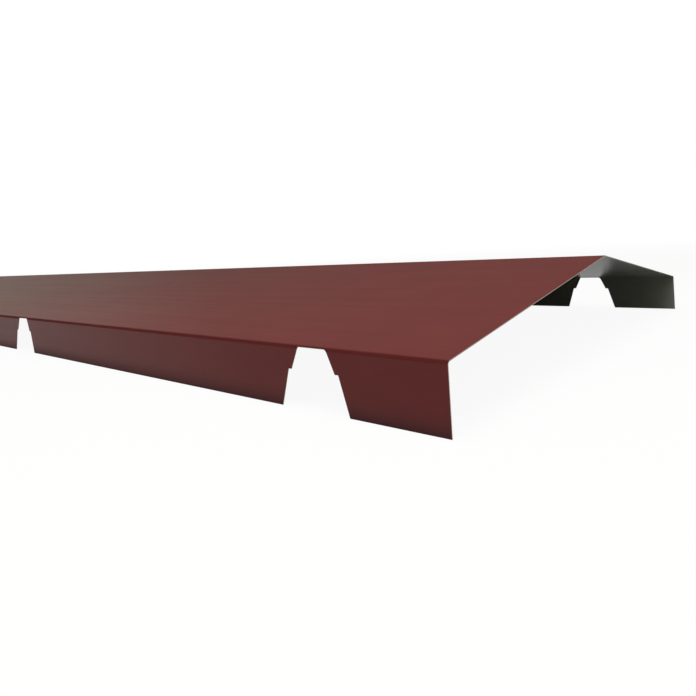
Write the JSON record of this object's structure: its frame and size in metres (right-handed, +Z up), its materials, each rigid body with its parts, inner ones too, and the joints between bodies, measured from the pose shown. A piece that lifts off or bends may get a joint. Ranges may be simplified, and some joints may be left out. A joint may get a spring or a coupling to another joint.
{
  "type": "roof ridge cap",
  "caption": "Folded sheet-steel ridge cap with two sloping wings and down-turned flanges, notched to close over the trapezoid ribs of roof panels.",
  "frame": {"origin": "middle of the footprint, at the level of the flanges' lower edges", "axes": "+X along the ridge towards the end with the short tooth, +Y across to the far flange, +Z up"},
  "size_m": [2.1, 0.539, 0.0814],
  "materials": {
    "painted_steel": "satin oxide-red coat outside, dark grey backing coat underneath"
  },
  "bodies": {
    "root": {"ridge_cap": "painted_steel"}
  },
  "joints": []
}
